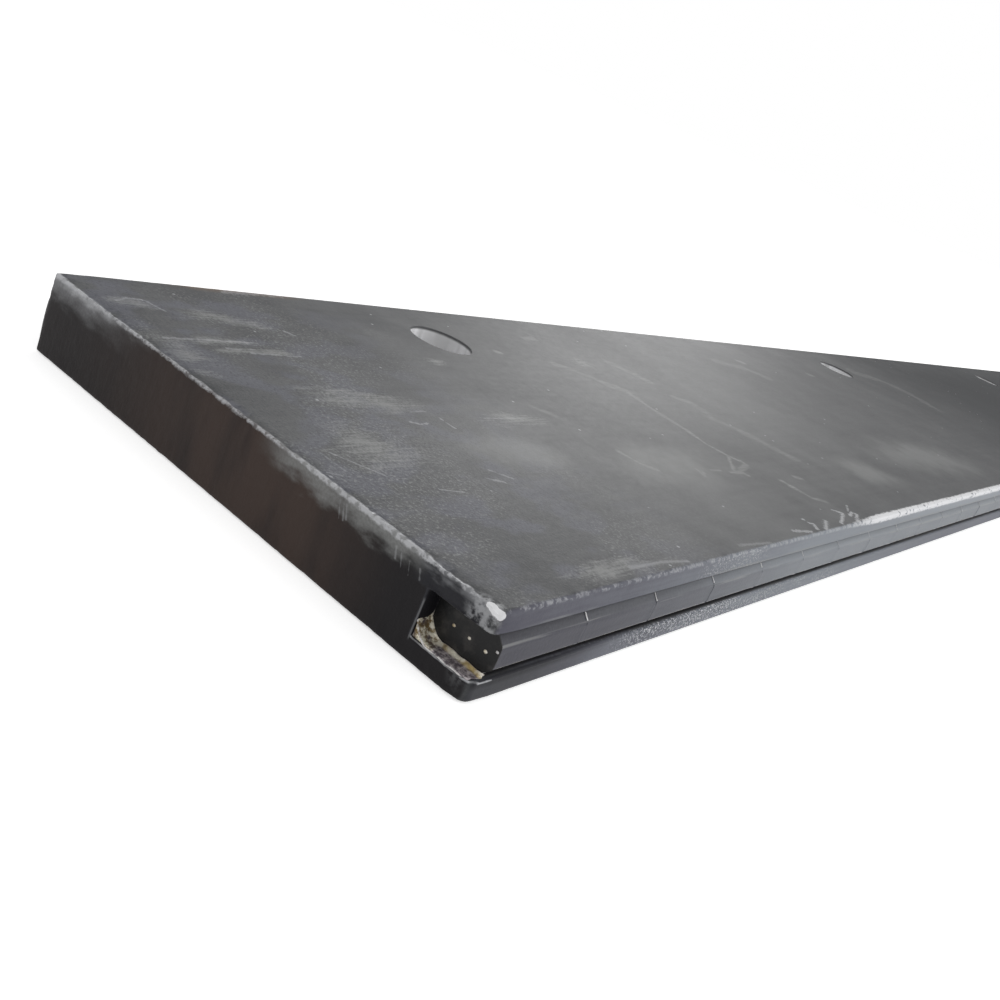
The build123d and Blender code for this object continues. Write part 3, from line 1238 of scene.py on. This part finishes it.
def sintered_carbide():
    """Grey sintered carbide under a thin, patchy coat of paint, lighter along the bar as a painted
    reflection, with painted shade in the grooves and painted light on the lower chamfer.
    """
    finish = Finish("sintered_carbide")
    along, across, up = finish.along, finish.across, finish.up
    blotches = finish.noise(9, 4, stretch=(2, 1, 1))
    scores = finish.noise(1.1, 3, stretch=(20, 1, 1))
    grain = finish.noise(0.7, 3, roughness=0.65)
    # The tone lightens along the bar as a painted reflection of the grazing light, with random
    # blotches, scores and grain; the flat face stays darker near the near end
    tone = (along * 0.0075).least(1.0) + blotches * 0.4 + scores * 0.4 + grain * 0.25
    colour = finish.mix(tone.over(0.3, 1.7), CARBIDE_PURPLE, CARBIDE_GREY)
    face = up.between(INSERT_LOW + NOSE_CHAMFER, INSERT_HIGH - NOSE_CHAMFER, 0.3)
    colour = colour.coat(face * (0.2 + 0.5 * along.under(15, 150)), CARBIDE_PURPLE)
    # Painted light: the downward-facing lower chamfer painted near white, more so along the bar
    lower_slope_light = up.under(INSERT_LOW + NOSE_CHAMFER - 0.4, INSERT_LOW + NOSE_CHAMFER)
    colour = colour.coat(lower_slope_light * (0.2 + 0.8 * along.over(20, 100)), BRIGHT_STEEL_AND_LIGHT)
    # Painted shadow of the upper lip on the inserts' upper chamfer near the near end
    upper_slope_shadow = up.over(INSERT_HIGH - NOSE_CHAMFER, INSERT_HIGH - NOSE_CHAMFER + 0.3)
    colour = colour.coat(upper_slope_shadow * along.under(40, 110) * 0.3, SHADE_AND_GRIME_BLACK)
    # Painted highlight: a light line along the edge between the upper chamfer and the flat face
    ridge_highlight = up.between(INSERT_HIGH - NOSE_CHAMFER - 0.15, INSERT_HIGH - NOSE_CHAMFER + 0.1, 0.2)
    colour = colour.coat(ridge_highlight * scores.over(0.4, 0.6) * 0.5, DUST)
    # Painted shade in the groove under the inserts' noses, fading along the bar
    groove_shade = 0.95 - along.over(90, 240) * (0.5 + blotches * 0.6)
    shade_under_nose = (up + 0.5 * grain).under(INSERT_LOW + 0.3, INSERT_LOW + 0.8)
    colour = colour.coat(shade_under_nose * groove_shade, SHADE_AND_GRIME_BLACK)
    # Painted shade in the deep part of the notch behind the upper chamfer, fading along the bar
    shade_over_nose = (across + 0.3 * grain).over(1.5, 1.95)
    colour = colour.coat(shade_over_nose * (0.92 - along.over(60, 260) * 0.45), SHADE_AND_GRIME_BLACK)
    end_face = along.under(FIRST_INSERT + 0.1, FIRST_INSERT + 0.3)
    wet = finish.noise(2.5, 3)
    end_colour = finish.mix(wet.over(0.45, 0.7), shade(17, 17, 18), shade(50, 48, 47))
    colour = colour.coat(end_face, end_colour)
    return finish.surface(colour, 0.42 + 0.2 * blotches, 0.1 * grain, grain, 0.07)


def brazing_metal():
    """Silver braze, dull and lumpy, golden where it lies thick in the end pockets."""
    finish = Finish("brazing_metal")
    end_gap = finish.along.least(LENGTH - finish.along)
    across = finish.across
    lumps = finish.noise(1.1, 4, roughness=0.6)
    tint = finish.noise(2.2, 3)
    silver = finish.mix(tint.over(0.4, 0.65), shade(190, 187, 190), shade(240, 236, 226))
    in_pocket = end_gap.under(FIRST_INSERT - 0.3, FIRST_INSERT + 0.1) * across.over(0.9, 1.2)
    strip = finish.mix(lumps.over(0.4, 0.62), shade(98, 90, 96), shade(196, 188, 190))
    colour = finish.mix(in_pocket, silver, strip)
    inner = end_gap.over(FIRST_INSERT - 1.3, FIRST_INSERT - 0.6) * in_pocket
    golden = finish.mix(tint.over(0.35, 0.6), shade(196, 174, 120), shade(246, 240, 222))
    colour = colour.coat(inner * (0.5 + 0.5 * lumps.over(0.3, 0.5)), golden)
    corner = (across + (tint - 0.5) * 4).over(10.0, 11.6) * in_pocket
    corner_colour = finish.mix(lumps.over(0.4, 0.58), shade(124, 104, 66), shade(250, 244, 225))
    colour = colour.coat(corner * tint.over(0.3, 0.5), corner_colour)
    ticks = across.under(1.5, 1.9) * end_gap.over(FIRST_INSERT + 1, FIRST_INSERT + 2)
    colour = colour.coat(ticks * 0.8, shade(232, 232, 234))
    # Painted shade on the braze at the back of the slot
    shade_behind = across.over(13.2, 13.7) * finish.up.over(7.4, 9.0)
    colour = colour.coat(shade_behind, SHADE_AND_GRIME_BLACK)
    outer = end_gap.under(0.3, 0.6) * in_pocket
    colour = colour.coat(outer * lumps.over(0.3, 0.5), shade(236, 233, 232))
    return finish.surface(colour, 0.38 + 0.2 * lumps, 0.15 + 0.35 * tint, lumps, 0.2, specular=0.5)


# Studio


def whole_studio():
    """A white world for the camera, which lights the object less than it shows."""
    scene = bpy.context.scene
    scene.view_settings.view_transform = "Standard"
    world = bpy.data.worlds.new("studio")
    scene.world = world
    world.use_nodes = True
    sky = NodeBench(world.node_tree)
    strength = 0.5 + 0.5 * sky.backdrop_rays()
    inputs = {"Color": (1, 1, 1, 1), "Strength": strength}
    background = sky.add("Background", inputs=inputs)
    sky.add("OutputWorld", inputs={"Surface": background})


def floor():
    """A pale matt floor that shows white and keeps the object's shadow."""
    begin()
    mesh.primitive_plane_add(size=60, location=(0, 0, -0.0002))
    ground = settle("studio_floor")
    material = bpy.data.materials.new("studio_floor")
    material.use_nodes = True
    bench = NodeBench(material.node_tree)
    matte = bench.add("BsdfDiffuse", inputs={"Color": (0.85, 0.85, 0.85, 1)})
    inputs = {"Color": (0.62, 0.62, 0.62, 1), "Strength": bench.backdrop_rays()}
    lift = bench.add("Emission", inputs=inputs)
    both = bench.add("AddShader", inputs=[matte, lift])
    bench.add("OutputMaterial", inputs={"Surface": both})
    ground.data.materials.append(material)


def add_object(name, data):
    """Put a lamp or a camera into the scene."""
    thing = bpy.data.objects.new(name, data)
    bpy.context.collection.objects.link(thing)
    return thing


def softbox(name, place, target, size, power):
    """A soft square lamp, hidden from the camera, that points at a target."""
    data = bpy.data.lights.new(name, "AREA")
    data.shape = "RECTANGLE"
    data.size, data.size_y = size
    data.energy = power
    lamp = add_object(name, data)
    lamp.location = place
    lamp.rotation_euler = (Vector(target) - Vector(place)).to_track_quat("-Z", "Y").to_euler()
    lamp.visible_camera = False


def camera():
    """The photograph's viewpoint: low, close to the near corner, looking along the edge."""
    data = bpy.data.cameras.new("camera")
    data.lens = 40.875
    data.sensor_width = 36
    data.clip_start = 0.01
    data.clip_end = 100
    eye = add_object("camera", data)
    right = Vector((0.584629, -0.719774, 0.374345))
    down = Vector((-0.067385, -0.5029, -0.861714))
    ahead = Vector((0.808498, 0.478557, -0.342512))
    turn = Matrix((right, -down, -ahead)).transposed().to_4x4()
    eye.matrix_world = Matrix.Translation(Vector((-0.593367, -0.135286, 0.089981))) @ turn
    bpy.context.scene.camera = eye


whole_studio()
floor()
camera()
softbox("window", (1.95, 1.27, 0.75), (-0.25, 0.02, 0.0), (0.7, 0.5), 10)
softbox("key", (-0.4, -1.6, 1.9), (-0.1, 0.0, 0.0), (1.6, 1.2), 10)
softbox("fill", (1.8, -2.2, 0.9), (0.0, 0.0, 0.0), (1.6, 1.2), 20)

carbide = sintered_carbide()
braze = brazing_metal()
make_bar(black_paint(), bored_steel())
make_inserts(carbide)
make_pocket_spill(braze)
make_beads(braze)
make_joint_ticks(braze)
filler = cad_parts["braze_filler"]
filler.data.materials.clear()
filler.data.materials.append(braze)
